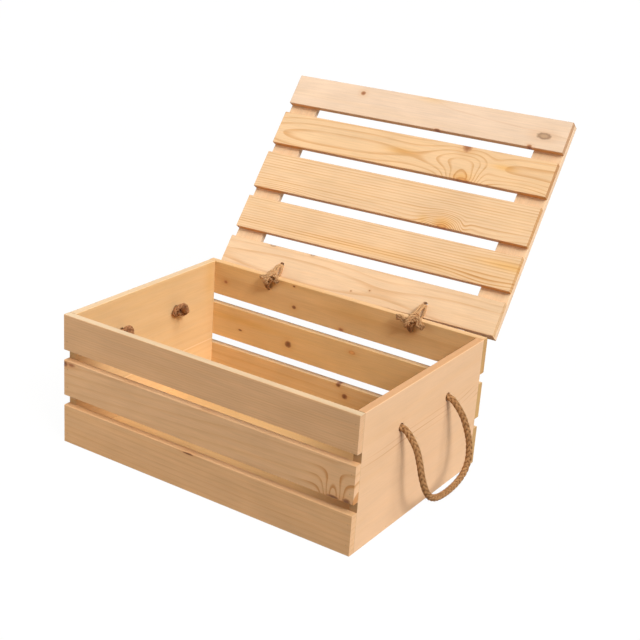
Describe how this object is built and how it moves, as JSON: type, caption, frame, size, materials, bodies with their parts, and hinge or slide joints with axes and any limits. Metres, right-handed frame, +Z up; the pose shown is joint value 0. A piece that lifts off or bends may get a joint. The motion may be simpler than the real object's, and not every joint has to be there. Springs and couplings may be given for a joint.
{
  "type": "kindling box",
  "caption": "Slatted pine crate for kindling, with an open slatted lid on tied twine hinges and a knotted rope handle at each end.",
  "frame": {"origin": "middle of the crate's flat underside", "axes": "+X to the right end, -Y to the front, +Z up; the lid is drawn open, leaning back over +Y"},
  "size_m": [0.6022, 0.6002, 0.4781],
  "materials": {
    "side_pine": "bare sanded pine, front and back slats",
    "end_pine": "bare sanded pine, end boards",
    "floor_pine": "bare pine panel",
    "lid_pine": "bare sanded pine, pale lid slats",
    "rope_jute": "laid jute rope, matt and hairy",
    "twine_jute": "jute twine, matt and hairy",
    "brad_steel": "bright wire brads"
  },
  "bodies": {
    "crate": {"front_top_slat": "side_pine", "front_middle_slat": "side_pine", "front_bottom_slat": "side_pine", "back_top_slat": "side_pine", "back_middle_slat": "side_pine", "back_bottom_slat": "side_pine", "left_end_upper_board": "end_pine", "left_end_lower_board": "end_pine", "right_end_board": "end_pine", "floor_panel": "floor_pine", "front_brads": "brad_steel", "back_brads": "brad_steel", "floor_brads": "brad_steel", "left_front_knot": "rope_jute", "left_back_knot": "rope_jute", "right_front_knot": "rope_jute", "right_back_knot": "rope_jute", "left_hinge_twine": "twine_jute", "right_hinge_twine": "twine_jute"},
    "lid": {"lid_slat_1": "lid_pine", "lid_slat_2": "lid_pine", "lid_slat_3": "lid_pine", "lid_slat_4": "lid_pine", "lid_slat_5": "lid_pine", "left_batten": "lid_pine", "right_batten": "lid_pine", "lid_brads": "brad_steel"},
    "left_handle": {"left_rope_handle": "rope_jute"},
    "right_handle": {"right_rope_handle": "rope_jute"}
  },
  "joints": [
    {"name": "lid_hinge", "type": "hinge", "parent": "crate", "child": "lid", "pos_m": [0, 0.17869, 0.198], "axis": [0.9998, 0.0175, 0], "range_deg": [0, 128.5]},
    {"name": "left_handle_swing", "type": "hinge", "parent": "crate", "child": "left_handle", "pos_m": [-0.2553, 0, 0.1451], "axis": [0, 1, 0], "range_deg": [0, 130]},
    {"name": "right_handle_swing", "type": "hinge", "parent": "crate", "child": "right_handle", "pos_m": [0.2553, 0, 0.1451], "axis": [0, -1, 0], "range_deg": [0, 130]}
  ]
}
